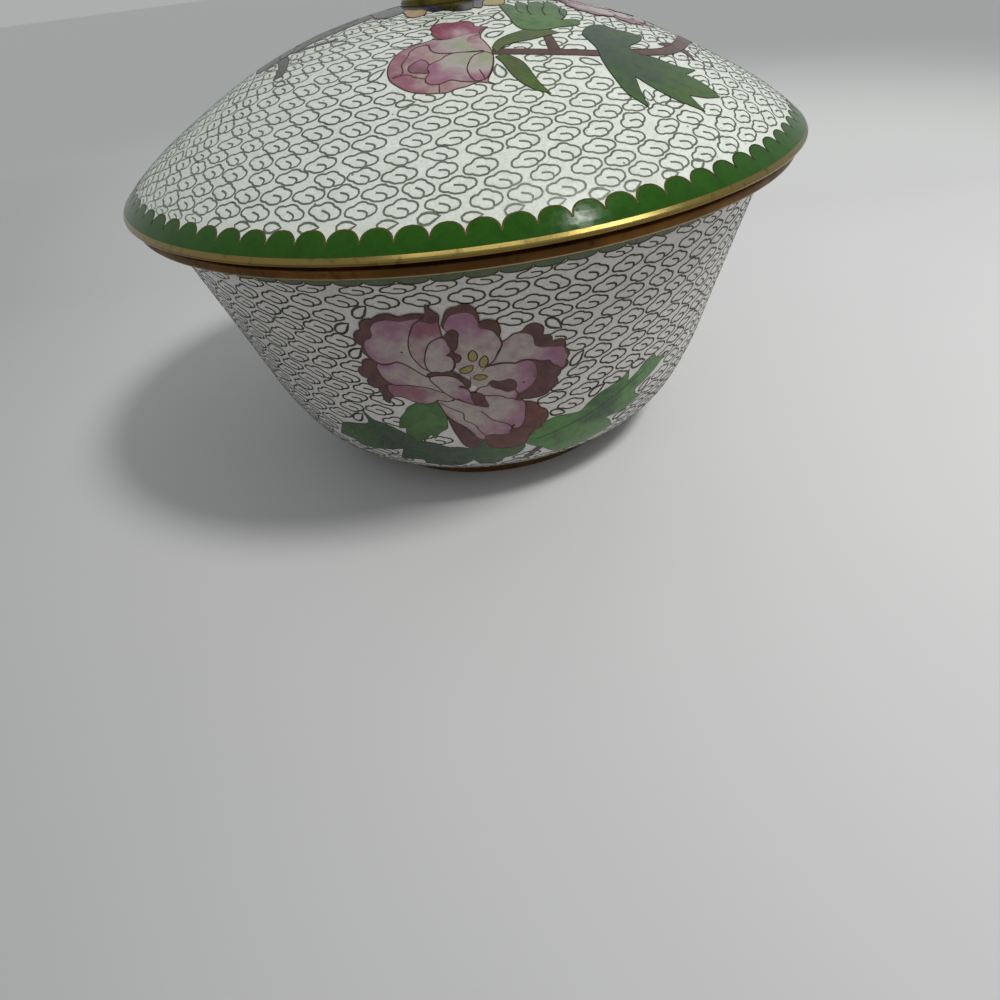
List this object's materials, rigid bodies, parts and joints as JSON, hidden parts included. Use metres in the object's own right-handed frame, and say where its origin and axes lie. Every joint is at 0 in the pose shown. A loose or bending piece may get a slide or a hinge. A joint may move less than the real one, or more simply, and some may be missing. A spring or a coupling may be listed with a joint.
{
  "type": "cloisonne lidded bowl",
  "caption": "Round cloisonne bowl with a flared wall, brass foot and mouth band, and a domed lid with a brass bead and knob that lifts off.",
  "frame": {"origin": "on the surface the bowl stands on, under the middle of the foot ring", "axes": "+Z is the bowl's turning axis, upwards through the knob; -Y is the side with the big peony"},
  "size_m": [0.163, 0.163, 0.1257],
  "materials": {
    "white_enamel": "glossy fired enamel on copper, greenish white",
    "aged_brass": "dull aged brass",
    "bright_brass": "polished brass, a little tarnished",
    "cloison_wire": "thin darkened wire, ground flush with the enamel",
    "green_enamel": "glossy fired enamel, leaf green",
    "peony_enamel": "glossy fired enamel, pink to maroon",
    "butterfly_enamel": "glossy fired enamel, grey violet, navy and ochre",
    "counter_enamel": "glossy fired enamel, turquoise, on the inside and underneath"
  },
  "bodies": {
    "root": {"bowl_body": "white_enamel", "bowl_rim": "aged_brass", "foot_ring": "aged_brass", "lid_body": "white_enamel", "lid_rim": "bright_brass", "knob": "aged_brass"}
  },
  "joints": []
}
